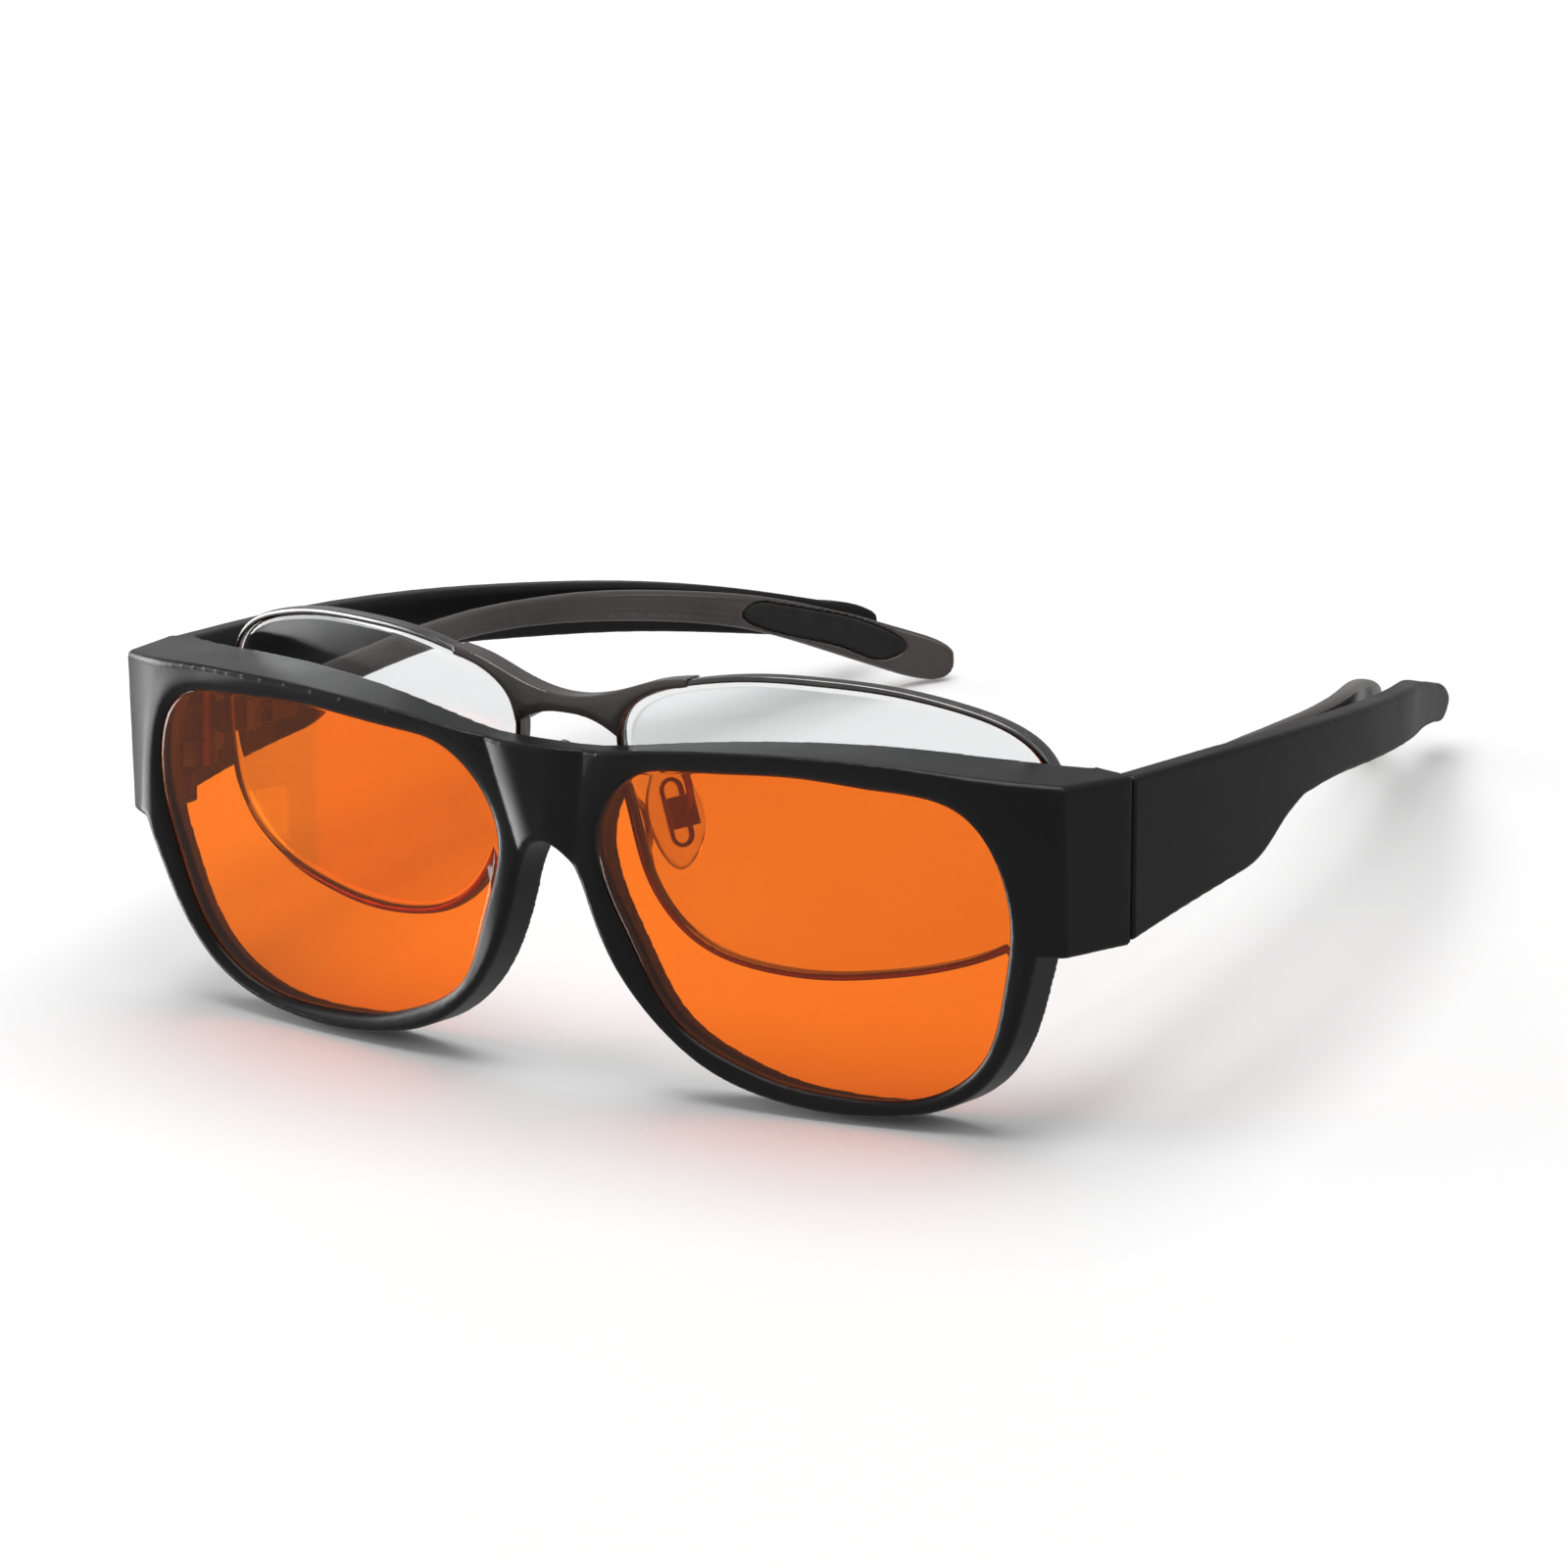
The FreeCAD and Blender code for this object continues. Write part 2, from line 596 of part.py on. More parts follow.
def pad_plate():
    """The slotted metal plate moulded into the pad, with the lug that the clip holds."""
    body = doc.addObject("PartDesign::Body", "plate_body")
    outline = body_sketch(body, "plate_outline")
    add_slot(outline, *PLATE_HALF)
    plate = body.newObject("PartDesign::Pad", "plate_blank")
    plate.Profile = outline
    plate.setExpression("Length", "sizes.plate_deep")
    plate.Reversed = True
    window = body_sketch(body, "plate_window")
    add_slot(window, PLATE_HALF[0] - 0.5, PLATE_HALF[1] - 0.5)
    opened = body.newObject("PartDesign::Pocket", "plate_open")
    opened.Profile = window
    opened.setExpression("Length", "sizes.plate_deep")
    lug_sketch = body_sketch(body, "plate_lug_outline")
    add_rectangle(lug_sketch, 1.2, 1.1)
    base = body.newObject("PartDesign::Pad", "plate_bar")
    base.Profile = lug_sketch
    base.setExpression("Length", "sizes.plate_deep")
    base.Reversed = True
    tongue_sketch = body_sketch(body, "plate_tongue_outline")
    add_rectangle(tongue_sketch, 0.8, 0.9)
    tongue = body.newObject("PartDesign::Pad", "plate_tongue")
    tongue.Profile = tongue_sketch
    tongue.setExpression("Length", "sizes.clip_high - 0.1")
    body.Tip = tongue
    return cut("plate_bored", body, cross_pin("lug_bore", "sizes.lug_pin + 0.04"))


def add_rectangle(target, half_wide, half_high):
    corners = [(-half_wide, -half_high), (half_wide, -half_high), (half_wide, half_high), (-half_wide, half_high)]
    for a, b in zip(corners, corners[1:] + corners[:1]):
        target.addGeometry(Part.LineSegment(Vector(*a, 0), Vector(*b, 0)), False)


def cross_pin(stem, radius):
    """The pin across the clip that the pad rocks on, in the pad's axes."""
    made = cylinder(stem, radius, -1.5, 1.5, (0, 0))
    made.Placement = Placement(Vector(-1.5, 0, 1.0), Rotation(Vector(0, 1, 0), 90))
    return made


def pad_clip():
    """The box cup on the wire's end that holds the plate's lug on its pin and lets the pad rock."""
    low = size("clip_gap")
    top = low + size("clip_high")
    outer = box("clip_box", (-1.8, -2.0, low), (1.8, 2.0, top))
    inner = box("clip_room", (-1.2, -1.4, low - 1), (1.2, 1.4, top - 0.35))
    made = fuse("clip", cut("clip_cup", outer, inner), cross_pin("clip_pin", "sizes.lug_pin"))
    made.Placement = pad_placement()
    return made


def pad_wire():
    """The bent wire from the back of the rim to the clip."""
    place = pad_placement()
    top = size("clip_gap") + size("clip_high")
    end = place.multVec(Vector(0, 0, top))
    before = place.multVec(Vector(0, 0.4, top + 1.2))
    path = Part.BSplineCurve()
    path.interpolate([Vector(9.4, 11.1, -3.6), Vector(10.9, 13.2, -2.0), Vector(13.6, 15.4, -4.0), before, end])
    spine = Part.Wire([path.toShape()])
    start, along = path.value(path.FirstParameter), path.tangent(path.FirstParameter)[0]
    ring = Part.Wire([Part.makeCircle(size("wire_radius"), start, along)])
    made = doc.addObject("Part::Feature", "pad_wire_shape")
    made.Shape = spine.makePipeShell([ring], True, True)
    return made


# ---------------------------------------------------------------- names, resting attitude and files

def rest_placement():
    """Pitches the glasses until the rims and the temple tips stand on the table."""
    shift = Vector(0, size("rest_shift_back"), size("rest_shift_up"))
    return Placement(shift, Rotation(Vector(1, 0, 0), size("rest_pitch")))


def lay_down(made):
    made.Placement = rest_placement().multiply(made.Placement)
    return made


def name_node(made, label):
    made.Label = label
    nodes.append(made)


def add_single(made, label):
    name_node(lay_down(made), label)


def add_pair(made, stem):
    """The piece on the wearer's left, and its mirror image on the right."""
    name_node(lay_down(made), stem + "_left")
    name_node(mirror(stem + "_mirror", made), stem + "_right")


def build():
    add_single(fit_over_front(), "fit_over_front")
    add_pair(orange_lens(), "orange_lens")
    front_leaf, temple_leaf, hinge_screw = fit_over_hinge()
    add_pair(front_leaf, "fit_over_front_leaf")
    add_pair(hinge_screw, "fit_over_hinge_screw")
    add_pair(temple_leaf, "fit_over_temple_leaf")
    add_pair(fit_over_temple(), "fit_over_temple")
    add_single(spectacle_bridge(), "spectacle_bridge")
    add_pair(spectacle_rim(), "spectacle_rim")
    add_pair(clear_lens(), "clear_lens")
    add_pair(spectacle_endpiece(), "spectacle_endpiece")
    add_pair(rim_screw(), "rim_screw")
    moving_leaf, arm_screw = arm_hinge()
    add_pair(arm_screw, "spectacle_hinge_screw")
    add_pair(moving_leaf, "spectacle_temple_leaf")
    add_pair(spectacle_temple(), "spectacle_temple")
    add_pair(arm_inlay(), "temple_tip_inlay")
    add_pair(pad_wire(), "pad_wire")
    add_pair(pad_clip(), "pad_clip")
    for made, stem in ((pad_plate(), "pad_plate"), (nose_pad(), "nose_pad")):
        made.Placement = pad_placement()
        add_pair(made, stem)


def check_and_write():
    doc.recompute()
    for item in doc.Objects:
        if "Invalid" in item.State or "Error" in item.State:
            raise RuntimeError(f"{item.Label} failed: {item.State}")
    os.makedirs("parts", exist_ok=True)
    for node in nodes:
        shape = node.Shape
        if shape.isNull() or not shape.isValid() or shape.Volume <= 0:
            raise RuntimeError(f"{node.Label} has no valid solid")
        print(f"{node.Label}: {len(shape.Solids)} solid, {shape.Volume:.1f} mm3")
        shape.exportStep(f"parts/{node.Label}.step")


nodes = []
build()
check_and_write()
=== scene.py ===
import json
import math

import bpy
import numpy as np
from mathutils import Matrix, Vector


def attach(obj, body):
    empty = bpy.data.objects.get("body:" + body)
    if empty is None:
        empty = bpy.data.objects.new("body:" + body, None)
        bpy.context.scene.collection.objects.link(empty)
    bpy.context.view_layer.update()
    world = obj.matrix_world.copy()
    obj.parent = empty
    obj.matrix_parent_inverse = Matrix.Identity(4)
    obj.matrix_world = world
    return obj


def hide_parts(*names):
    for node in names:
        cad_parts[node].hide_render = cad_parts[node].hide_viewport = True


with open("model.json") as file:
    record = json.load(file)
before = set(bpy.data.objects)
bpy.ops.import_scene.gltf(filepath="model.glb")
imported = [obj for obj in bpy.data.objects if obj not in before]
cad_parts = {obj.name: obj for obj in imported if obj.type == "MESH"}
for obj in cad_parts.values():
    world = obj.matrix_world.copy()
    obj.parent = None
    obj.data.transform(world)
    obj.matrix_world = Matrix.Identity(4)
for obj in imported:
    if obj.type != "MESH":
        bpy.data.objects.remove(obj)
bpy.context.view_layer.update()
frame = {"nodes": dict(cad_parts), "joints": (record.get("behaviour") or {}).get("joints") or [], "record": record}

SIDES = {"left": 1, "right": -1}
MM = 0.001

# ---------------------------------------------------------------- the wearing frame
# Shapes are worked out in millimetres in the wearing attitude, as the CAD model's source does: +X is the
# wearer's left, +Y back along the temples and +Z up. One joint of the frame says how that attitude is
# pitched on the table.

FOLD = next(j for j in frame["joints"] if j["name"] == "fit_over_left_fold")
PIN = np.array([68.8, 22.6, -9.5])  # that joint's place in the wearing frame
PITCH = math.atan2(FOLD["axis"][1], FOLD["axis"][2])
TURN = np.array([
    [1, 0, 0],
    [0, math.cos(PITCH), math.sin(PITCH)],
    [0, -math.sin(PITCH), math.cos(PITCH)],
])
SHIFT = np.array(FOLD["pos_m"]) / MM - TURN @ PIN


def to_row(points):
    """Points of the wearing frame, in mm, as points of the row frame, in metres."""
    return (np.asarray(points, float) @ TURN.T + SHIFT) * MM


# ---------------------------------------------------------------- driving shapes
# Nearly all are the CAD model's. The top edge of the openings, the ends of the bridge and the grip's outline
# follow the photo more closely here, and the tinted lenses lap 0.1 mm less. The panel in the slim arms is
# only here.

FRONT_SAG, FRONT_LEAN, WALL, LIP = 0.00121, 0.177, 3.0, 6.5
KEYSTONE_HALF, KEYSTONE_FLARE, KEYSTONE_FOOT = 3.0, 5.6 / 24, -20
VALLEY_DEEP, VALLEY_OUT, VALLEY_IN = 0.9, 9, 5
ROLL_DEEP, ROLL_WIDE = 0.9, 5.0  # how the face rolls back round the openings
LIP_TOP, BACK_STEP = -6, 0.6
LENS_INSET, LENS_THICK, LENS_LAP = 1.4, 1.8, 0.9
ENDPIECE_LOW, SEAM, WALL_INNER, WALL_OUTER = -19.9, 22.5, 69.8, 75.6
EDGE_HEIGHTS, EDGE_ROUNDS = [-20, -4], [0.9, 0.5]
WRAP_ROUND, SHELF_ROUND, CAVITY_ROUND, OPENING_ROUND, STEP_ROUND = 0.8, 0.2, 0.4, 0.9, 0.3
FRONT_BOX, FRONT_STEP = ((0, -3.2, -47), (78, 25, 5)), 0.35
HINGE_POCKET = (68.0, 16.0, -15.7), (70.6, 24.0, -2.9)
OPENING = [
    (64.3, -25), (66.1, -13.8), (61.3, -2.7), (49.1, -0.5), (39, -0.1), (29, -0.7), (22, -1.2), (15.4, -2.3),
    (8.0, -12.2), (11.6, -25), (16.6, -34.3), (25, -39), (32.4, -41), (39, -41.5), (45.8, -41.4),
    (53.6, -39.6), (60.8, -34),
]
LENS_CENTRE = (39, -22)
BROW = [(76, 1.4), (61, 2.8), (45, 3.1), (30, 2.4), (16, 1.0), (8, 0.1), (0, 0)]
LOWER_RIM = [
    (69.6, -19.9), (67.5, -26), (65, -32), (60.5, -38), (54, -41.8), (46, -43.6), (38, -44), (29, -43),
    (21, -40.3), (14, -35), (9, -28.2), (5.8, -20.5), (3.2, -14.8), (0, -12.9),
]
SHELF_BACK = [(70, 21.5), (62, 17.3), (45, 13.4), (24, 8.6), (0, 4.6)]
CORNER = [(56, 3.6), (62, 4.9), (68, 7.6), (73, 10.9)]
CORNER_LEAN = 0.05
CAVITY_TOP = [(WALL_INNER, -0.9), (45, 0.6), (30, 0), (16, -1.5), (0, -2.6)]

TEMPLE_THICK, TEMPLE_ROUND, SEAM_ROUND = 3.4, 0.7, 0.15
PAST_SEAM = 3.0  # the temple's outlines start this far ahead of the seam, where it is cut off
TEMPLE_OUTER = [(75.6, 22.7), (75.8, 46), (73.9, 70), (69.0, 92.5), (63.2, 109), (56, 124), (48, 143.5)]
TEMPLE_SIDE = [
    [(22.7, 1.3), (46, 1.0), (71, -0.1), (93, -1.9), (109, -3.7), (123, -6.2), (135, -9.2)],
    [(135, -9.2), (140.5, -10.6), (143, -12.8), (140.5, -14.6), (135, -14.3)],
    [(135, -14.3), (124, -12.6), (107, -10.4), (87, -8.8), (72, -8.1), (64, -8.5)],
    [(64, -8.5), (60, -9.9), (56, -12.1), (52, -14.3), (46, -15.5)],
    [(46, -15.5), (34, -17.3), (22.7, -19.4)],
]
LEAF_RECESS = (70, 23.4, -14.5), (73.4, 31.0, -4.5)

RIM_SAG, RIM_LEAN, RIM_BACK, RIM_WIDTH, RIM_DEPTH = 0.0033, 0.054, 8.3, 0.9, 2.4
RIM_ROUND = 0.28
RIM_BAND = [(0.0, 1.75), (-0.09, 1.55), (-0.11, 1.2), (-0.09, 0.85), (0.0, 0.65)]
CLEAR_INSET, CLEAR_THICK, CLEAR_LAP = 0.5, 1.4, 0.1
RIM_CENTRE = (36, -8)
RIM = [
    (65.1, -8), (62.8, 3.1), (52.4, 8.4), (43.5, 10), (36, 10.4), (28.4, 10.3), (19, 9), (8.1, 3.6),
    (9.1, -8), (12.1, -17.9), (19, -25), (27.9, -27.5), (36, -27.8), (43.8, -26.9), (52.8, -24.8),
    (62.4, -18.9),
]
BRIDGE_TOP = [(18.2, 9.1), (13.7, 8.35), (9.3, 6.9), (5, 5.6), (0, 5.0)]
BRIDGE_LOW = [(8.0, 0.4), (5.6, 1.7), (3, 2.5), (0, 2.7)]
BRIDGE_SIDE = [(8.0, 0.4), (9.0, 3.4), (11.5, 5.8), (15, 7.3), (18.2, 7.9)]
BRIDGE_MIDDLE, BRIDGE_HALF_DEEP, BRIDGE_ROUND = 1.25, 1.95, 0.2
CHAMFER_DEEP, CHAMFER_WIDE = 0.3, 1.1
BRIDGE_BOX, BRIDGE_STEP = ((-20, 5.5, -1), (20, 15, 11.5)), 0.2

ARM_THICK, ARM_ROUND = 2.4, 0.8
INLAY_DEEP, INLAY_GAP, INLAY_LIFT, INLAY_ROUND = 0.8, 0.15, 0.05, 0.25
PANEL_DEEP, PANEL_SLOPE = 0.35, 0.7
ARM_OUTER = [(65.2, 28.5), (65.5, 50), (65.2, 76), (60.8, 96), (53.2, 113), (45.6, 129.5), (34.0, 144.5)]
ARM_SIDE = [
    [(28.5, -5.3), (50, -3.5), (70, -2.3), (85, -2.3), (97, -2.8), (110, -4.3), (121, -6.4), (132, -9.8)],
    [(132, -9.8), (139, -12.8), (143.4, -16.6), (142.4, -19.4), (138, -18.9)],
    [
        (138, -18.9), (129, -14.8), (118, -10.6), (108, -8.4), (97, -7.0), (81, -5.9), (66, -6.0), (50, -7.2),
        (28.5, -9.9),
    ],
]
INLAY = [
    (116.2, -8.1), (117.3, -7.0), (120.5, -7.05), (128.8, -9.35), (135.5, -12.3), (137.7, -14.9),
    (135.8, -16.2), (131.6, -14.8), (124.6, -12.2), (119.3, -10.35), (117.2, -9.3),
]
PANEL_TOP = [(33, -6.5), (50, -5.2), (70, -4.0), (85, -4.0), (97, -4.5), (110, -6.1), (115.3, -7.4)]
PANEL_LOW = [(115.3, -9.2), (108, -7.6), (97, -6.2), (81, -5.2), (66, -5.3), (50, -6.5), (33, -8.5)]


# ---------------------------------------------------------------- curves and fields

def smooth_curve(points, closed=False, span=14):
    """A cubic curve through points, as many short straight runs; its knots are spaced by chord length."""
    p = np.array(points, float)
    if closed:
        p = np.vstack([p, p[:1]])
    n = len(p)
    gap = np.linalg.norm(np.diff(p, axis=0), axis=1)
    rule = np.zeros((n, n))
    pull = np.zeros((n, p.shape[1]))
    for i in range(1, n - 1):
        rule[i, i - 1:i + 2] = gap[i - 1], 2 * (gap[i - 1] + gap[i]), gap[i]
        pull[i] = 6 * ((p[i + 1] - p[i]) / gap[i] - (p[i] - p[i - 1]) / gap[i - 1])
    rule[0, 0] = 1
    if closed:
        rule[0, -1] = -1
        rule[-1, -2] += gap[-1]
        rule[-1, 0] += 2 * (gap[-1] + gap[0])
        rule[-1, 1] += gap[0]
        pull[-1] = 6 * ((p[1] - p[0]) / gap[0] - (p[-1] - p[-2]) / gap[-1])
    else:
        rule[-1, -1] = 1
    bend = np.linalg.solve(rule, pull)
    out = []
    for i in range(n - 1):
        b = np.linspace(0, 1, span, endpoint=False)[:, None]
        a = 1 - b
        square = gap[i] ** 2 / 6
        out.append(a * p[i] + b * p[i + 1] + ((a ** 3 - a) * bend[i] + (b ** 3 - b) * bend[i + 1]) * square)
    if not closed:
        out.append(p[-1:])
    return np.vstack(out)


def both_ways(half):
    """A run of points from right to left, from its left half, the middle last."""
    return [(-x, y) for x, y in half] + [(x, y) for x, y in reversed(half) if x > 0]


def outline(runs):
    """One closed outline from runs of points that follow each other."""
    return np.vstack([smooth_curve(run)[:-1] for run in runs] + [np.array(runs[-1][-1:], float)])


def grown(points, centre, by):
    """An outline moved outwards, away from a centre, by a distance."""
    p = np.asarray(points, float) - centre
    reach = np.linalg.norm(p, axis=1, keepdims=True)
    return p * (1 + by / reach) + centre


def beside(points, by):
    """A dense run of points moved to its own left by a distance."""
    way = np.gradient(points, axis=0)
    way /= np.linalg.norm(way, axis=1, keepdims=True)
    return points + by * np.stack([-way[:, 1], way[:, 0]], axis=1)


def run_distance(points, u, v, closed=False):
    """How far each (u, v) is from a run of points; negative inside a closed run."""
    u, v = np.broadcast_arrays(u, v)
    best = np.full(u.shape, 1e9)
    inside = np.zeros(u.shape, bool)
    ends = np.roll(points, -1, axis=0) if closed else points[1:]
    for (ax, ay), (bx, by) in zip(points, ends):
        dx, dy = bx - ax, by - ay
        if dx == 0 and dy == 0:
            continue
        along = np.clip(((u - ax) * dx + (v - ay) * dy) / (dx * dx + dy * dy), 0, 1)
        best = np.minimum(best, (u - ax - along * dx) ** 2 + (v - ay - along * dy) ** 2)
        if closed and ay != by:
            crosses = (ay > v) != (by > v)
            inside ^= crosses & (u < ax + (v - ay) / (by - ay) * dx)
    best = np.sqrt(best)
    return np.where(inside, -best, best) if closed else best


def both(a, b, r):
    """What lies in two fields at once, with a rounded edge of radius r."""
    return np.minimum(-r, np.maximum(a, b)) + np.hypot(np.maximum(a + r, 0), np.maximum(b + r, 0))


def grid(low, high, step):
    """Open grids of x, y and z over a box."""
    lines = [np.arange(a, b + step, step) for a, b in zip(low, high)]
    return lines[0][:, None, None], lines[1][None, :, None], lines[2][None, None, :]


def net(field, low, step):
    """The surface where a field is zero, as points and quads: one point in each cell that it crosses."""
    cells = np.array(field.shape) - 1
    places, rings = [], []
    for axis in range(3):
        lead = [slice(1, -1)] * 3
        lead[axis] = slice(0, -1)
        follow = list(lead)
        follow[axis] = slice(1, None)
        a, b = field[tuple(lead)], field[tuple(follow)]
        ends = np.nonzero((a < 0) != (b < 0))
        inside = a[ends] < 0
        at = np.stack(ends, axis=1) + [0 if k == axis else 1 for k in range(3)]
        place = at.astype(float)
        place[:, axis] += a[ends] / (a[ends] - b[ends])
        others = [k for k in range(3) if k != axis]
        corners = []
        for back in ((0, 0), (1, 0), (1, 1), (0, 1)):
            cell = at.copy()
            cell[:, others] -= back
            corners.append(np.ravel_multi_index(tuple(cell.T), tuple(cells)))
        ring = np.stack(corners, axis=1)
        turned = inside if axis == 1 else ~inside
        ring[turned] = ring[turned][:, ::-1]
        rings.append(ring)
        places.append(np.repeat(place, 4, axis=0))
    number = np.unique(np.vstack(rings).ravel(), return_inverse=True)[1].ravel()
    place = np.vstack(places)
    count = np.bincount(number)
    points = np.stack([np.bincount(number, place[:, k]) / count for k in range(3)], axis=1)
    return points * step + low, number.reshape(-1, 4)


def relax(points, quads, passes):
    """Evens the vertices out a little, each towards the middle of its neighbours."""
    pairs = np.vstack([quads[:, [i, (i + 1) % 4]] for i in range(4)])
    pairs = np.vstack([pairs, pairs[:, ::-1]])
    degree = np.bincount(pairs[:, 0], minlength=len(points))[:, None]
    for weight in (0.5, -0.52) * passes:
        near = [np.bincount(pairs[:, 0], points[pairs[:, 1], k], len(points)) for k in range(3)]
        points = points + weight * (np.stack(near, axis=1) / degree - points)
    return points


def mesh_piece(name, points, faces, material, body, replaced, mirrored=False):
    """A smooth mesh from points of the wearing frame, on its body, standing for its CAD node."""
    points = np.array(points, float)
    faces = [list(map(int, f)) for f in faces]
    if mirrored:
        points[:, 0] *= -1
        faces = [f[::-1] for f in faces]
    mesh = bpy.data.meshes.new(name)
    mesh.from_pydata(to_row(points).tolist(), [], faces)
    mesh.validate()
    mesh.shade_smooth()
    piece = bpy.data.objects.new(name, mesh)
    bpy.context.scene.collection.objects.link(piece)
    mesh.materials.append(material)
    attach(piece, body)
    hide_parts(replaced)


# ---------------------------------------------------------------- the fit-over front

def lens_face(x, z):
    """How far back the front's face stands, as a plain bowed and leaning surface."""
    return FRONT_SAG * x ** 2 - FRONT_LEAN * z


def front_face(x, z):
    """How far back the front's face stands, with the valley on each side of the keystone."""
    x = np.abs(x)
    away = x - (KEYSTONE_HALF + (z - KEYSTONE_FOOT) * KEYSTONE_FLARE)
    valley = np.clip(np.minimum(1 - away / VALLEY_OUT, 1 + away / VALLEY_IN), 0, 1) ** 2
    return lens_face(x, z) + VALLEY_DEEP * valley


def opening_field(x, z, by=0.0):
    """Inside a lens opening, or inside one grown by a distance."""
    shape = grown(smooth_curve(OPENING, closed=True), LENS_CENTRE, by)
    return run_distance(shape, x, z, closed=True)[:, None, :]


def front_outline_field(x, z):
    """Inside the front's outline as it is seen from ahead."""
    brow = smooth_curve(both_ways(BROW))
    rim = smooth_curve(both_ways(LOWER_RIM))
    shape = np.vstack([brow, [(76, ENDPIECE_LOW)], rim[::-1], [(-76, ENDPIECE_LOW)]])
    return run_distance(shape, x, z, closed=True)[:, None, :]


def wrap_field(x, y, z):
    """Behind the wrapped corner and inside the flaring side wall; the plan leans with height."""
    shape = np.vstack([smooth_curve(CORNER), [(WALL_OUTER, SEAM), (WALL_OUTER, 40), (-10, 40), (-10, -9.6)]])
    lines = np.arange(y.min() - 4, y.max() + 4, FRONT_STEP / 2)
    table = run_distance(shape, x[:, :, 0], lines[None, :], closed=True)
    at = (y[0] + CORNER_LEAN * z[0] - lines[0]) / (FRONT_STEP / 2)
    low = np.floor(at).astype(int)
    part = at - low
    return table[:, low] * (1 - part) + table[:, low + 1] * part


def shelf_field(x, y):
    """Ahead of the back edge of the shelf over the brow."""
    back = smooth_curve(both_ways(SHELF_BACK))
    shape = np.vstack([back, [(70, SEAM), (80, SEAM), (80, -15), (-80, -15), (-80, SEAM), (-70, SEAM)]])
    return run_distance(shape, x[:, :, 0], y[:, :, 0], closed=True)[:, :, None]


def cavity_field(x, z):
    """The room under the shelf and between the side walls, open below."""
    shape = np.vstack([smooth_curve(both_ways(CAVITY_TOP)), [(WALL_INNER, -60), (-WALL_INNER, -60)]])
    return run_distance(shape, x, z, closed=True)[:, None, :]


def box_field(x, y, z, low, high):
    """Inside a box between two corners."""
    sides = [np.maximum(a - v, v - b) for v, a, b in zip((x, y, z), low, high)]
    return np.maximum(np.maximum(sides[0], sides[1]), sides[2])


def front_field(x, y, z):
    """The front moulding's left half: its outline, wrap, shelf, cavity, lip, opening, the step behind the opening
    and pocket.
    """
    flat_x, flat_z = x[:, :, 0], z[0]
    opening = opening_field(flat_x, flat_z)
    roll = ROLL_DEEP * np.clip(1 - opening / ROLL_WIDE, 0, 1) ** 2
    t = y - front_face(x, z) - roll
    edge = np.interp(z, EDGE_HEIGHTS, EDGE_ROUNDS)
    body = both(front_outline_field(flat_x, flat_z), -t, edge)
    body = both(body, wrap_field(x, y, z), WRAP_ROUND)
    lip = np.maximum(t - LIP, z - LIP_TOP)
    shelf = np.maximum(shelf_field(x, y), ENDPIECE_LOW - z)
    body = both(body, np.minimum(shelf, lip), SHELF_ROUND)
    hollow = np.maximum(cavity_field(flat_x, flat_z), LIP - t)
    body = both(body, -hollow, CAVITY_ROUND)
    body = both(body, -opening, OPENING_ROUND)
    behind = np.maximum(opening_field(flat_x, flat_z, BACK_STEP), WALL - t)
    body = both(body, -behind, STEP_ROUND)
    return np.maximum(body, -box_field(x, y, z, *HINGE_POCKET))


def make_front(material):
    """The front moulding, from its left half and the half's mirror image."""
    x, y, z = grid(*FRONT_BOX, FRONT_STEP)
    half = front_field(x, y, z)
    field = np.concatenate([half[:0:-1], half])
    low = np.array([-x.max(), y.min(), z.min()])
    points, quads = net(field, low, FRONT_STEP)
    points = relax(points, quads, 2)
    mesh_piece("front_moulding", points, quads, material, "fit_over", "fit_over_front")


# ---------------------------------------------------------------- sheets, temples and arms

def rim_face(x, z):
    """How far back the front of the spectacles' rims stands."""
    return RIM_BACK + RIM_SAG * x ** 2 - RIM_LEAN * z


SHEET_RINGS, SHEET_HUB = 26, 0.04


def sheet(edge, centre, face, near, far, bevel=0.15):
    """A curved sheet inside an outline, between two depths behind a face, with bevelled edges."""
    centre = np.array(centre, float)
    reach = np.linalg.norm(edge - centre, axis=1).mean()
    shrink = 1 - bevel / reach
    inward = [s * shrink for s in np.linspace(1, SHEET_HUB, SHEET_RINGS)]
    front = [(s, near) for s in reversed(inward)]
    rings = front + [(1, near + bevel), (1, far - bevel)] + [(s, far) for s in inward]
    points = []
    for share, depth in rings:
        ring = centre + (edge - centre) * share
        points.append(np.stack([ring[:, 0], face(ring[:, 0], ring[:, 1]) + depth, ring[:, 1]], axis=1))
    n = len(edge)
    faces = ring_faces(len(rings), n, closed=False)
    faces.append(list(range(n))[::-1])
    faces.append(list(range((len(rings) - 1) * n, len(rings) * n)))
    return np.vstack(points), outward(np.vstack(points), faces)


def ring_faces(rings, n, closed):
    """Quads between rings of n points that follow each other."""
    faces = []
    for i in range(rings if closed else rings - 1):
        j = (i + 1) % rings
        for k in range(n):
            m = (k + 1) % n
            faces.append([i * n + k, i * n + m, j * n + m, j * n + k])
    return faces


def outward(points, faces):
    """The faces wound so that the closed mesh holds a volume above zero."""
    quads = np.array([f for f in faces if len(f) == 4])
    a, b, c, d = (points[quads[:, k]] for k in range(4))
    volume = (a * np.cross(b, c)).sum() + (a * np.cross(c, d)).sum()
    return faces if volume > 0 else [f[::-1] for f in faces]


